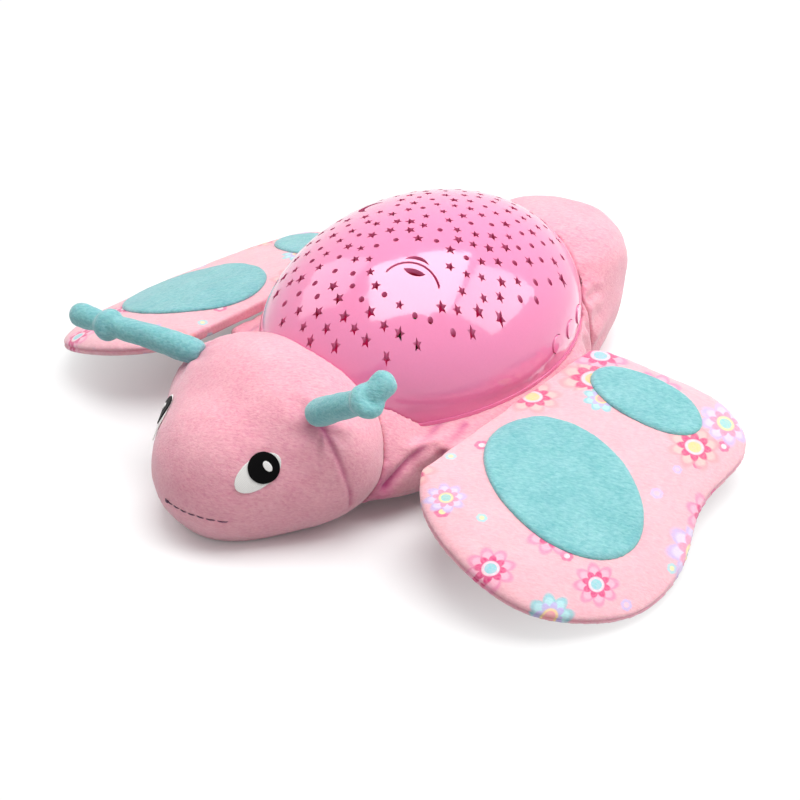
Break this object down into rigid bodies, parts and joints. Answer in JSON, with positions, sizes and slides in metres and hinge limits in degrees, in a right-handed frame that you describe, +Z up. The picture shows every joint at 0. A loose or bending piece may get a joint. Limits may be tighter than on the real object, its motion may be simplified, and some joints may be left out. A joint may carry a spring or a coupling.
{
  "type": "plush butterfly night light projector",
  "caption": "Soft butterfly that lies on a floor or bed, with a hard star-pierced dome on its back that throws light from inside, push buttons and a battery door.",
  "frame": {"origin": "on the floor, under the centre of the hard dome, on the flat base of the tub", "axes": "+Z up, -Y towards the head, +Y towards the tail, +X towards the butterfly's left wing"},
  "size_m": [0.329, 0.2675, 0.0926],
  "materials": {
    "dome_plastic": "glossy moulded pink plastic",
    "tub_plastic": "satin moulded pink plastic",
    "white_plastic": "satin moulded white plastic",
    "steel": "zinc-plated screws",
    "nickel_plate": "nickel-plated spring strip",
    "cell_case": "plain lacquered cell case",
    "circuit_board": "green circuit board",
    "black_epoxy": "black moulded parts",
    "speaker_basket": "black pressed steel",
    "speaker_paper": "black treated paper",
    "red_lens": "tinted epoxy lens",
    "green_lens": "tinted epoxy lens",
    "blue_lens": "tinted epoxy lens",
    "elastic_band": "woven elastic",
    "pink_plush": "short-pile pink plush",
    "printed_plush": "short-pile plush with a flower print",
    "teal_plush": "short-pile teal plush",
    "white_stitching": "satin-stitched thread",
    "black_stitching": "satin-stitched thread"
  },
  "bodies": {
    "lamp_body": {"star_dome": "dome_plastic", "base_tub": "tub_plastic", "aaa_cells": "cell_case", "front_contacts": "nickel_plate", "rear_contacts": "nickel_plate", "main_board": "circuit_board", "board_components": "black_epoxy", "board_screws": "steel", "speaker": "speaker_basket", "speaker_cone": "speaker_paper", "speaker_screws": "steel", "light_deck": "white_plastic", "deck_screws": "steel", "lamp_board": "circuit_board", "lamp_screws": "steel", "red_lamp": "red_lens", "green_lamp": "green_lens", "blue_lamp": "blue_lens", "button_board": "circuit_board", "tact_switches": "black_epoxy", "housing_screws": "steel", "hem_elastic": "elastic_band", "body_plush": "pink_plush", "tail_plush": "pink_plush", "head_plush": "pink_plush", "left_eye_white": "white_stitching", "right_eye_white": "white_stitching", "left_eye_pupil": "black_stitching", "right_eye_pupil": "black_stitching", "left_eye_glint": "white_stitching", "right_eye_glint": "white_stitching"},
    "left_wing_body": {"left_wing": "printed_plush", "left_large_patch": "teal_plush", "left_small_patch": "teal_plush"},
    "right_wing_body": {"right_wing": "printed_plush", "right_large_patch": "teal_plush", "right_small_patch": "teal_plush"},
    "left_feeler_body": {"left_feeler": "teal_plush"},
    "right_feeler_body": {"right_feeler": "teal_plush"},
    "light_button_body": {"light_button": "dome_plastic", "light_plunger": "white_plastic"},
    "melody_button_body": {"melody_button": "dome_plastic", "melody_plunger": "white_plastic"},
    "volume_button_body": {"volume_button": "dome_plastic", "volume_plunger": "white_plastic"},
    "battery_door_body": {"battery_door": "tub_plastic", "battery_door_screw": "steel"}
  },
  "joints": [
    {"name": "left_wing_lift", "type": "hinge", "parent": "lamp_body", "child": "left_wing_body", "pos_m": [0.067, -0.02, 0.0306], "axis": [0.0535, -0.9986, 0], "range_deg": [0, 45]},
    {"name": "right_wing_lift", "type": "hinge", "parent": "lamp_body", "child": "right_wing_body", "pos_m": [-0.067, -0.02, 0.0306], "axis": [0.0535, 0.9986, 0], "range_deg": [0, 45]},
    {"name": "left_feeler_bend", "type": "hinge", "parent": "lamp_body", "child": "left_feeler_body", "pos_m": [0.0386, -0.0988, 0.0594], "axis": [0.1235, -0.9923, 0], "range_deg": [-20, 20], "stiffness_Nm_per_rad": 0.05},
    {"name": "right_feeler_bend", "type": "hinge", "parent": "lamp_body", "child": "right_feeler_body", "pos_m": [-0.0386, -0.0988, 0.0594], "axis": [-0.3494, 0.937, 0], "range_deg": [-20, 20], "stiffness_Nm_per_rad": 0.05},
    {"name": "light_press", "type": "slide", "parent": "lamp_body", "child": "light_button_body", "axis": [-0.9427, -0.3335, 0], "range_m": [0, 0.0008], "stiffness_N_per_m": 1500},
    {"name": "melody_press", "type": "slide", "parent": "lamp_body", "child": "melody_button_body", "axis": [-0.9427, -0.3335, 0], "range_m": [0, 0.0008], "stiffness_N_per_m": 1500},
    {"name": "volume_press", "type": "slide", "parent": "lamp_body", "child": "volume_button_body", "axis": [-0.9427, -0.3335, 0], "range_m": [0, 0.0008], "stiffness_N_per_m": 1500},
    {"name": "battery_door_swing", "type": "hinge", "parent": "lamp_body", "child": "battery_door_body", "pos_m": [0, 0.0039, 0.0011], "axis": [-1, 0, 0], "range_deg": [0, 80]}
  ]
}
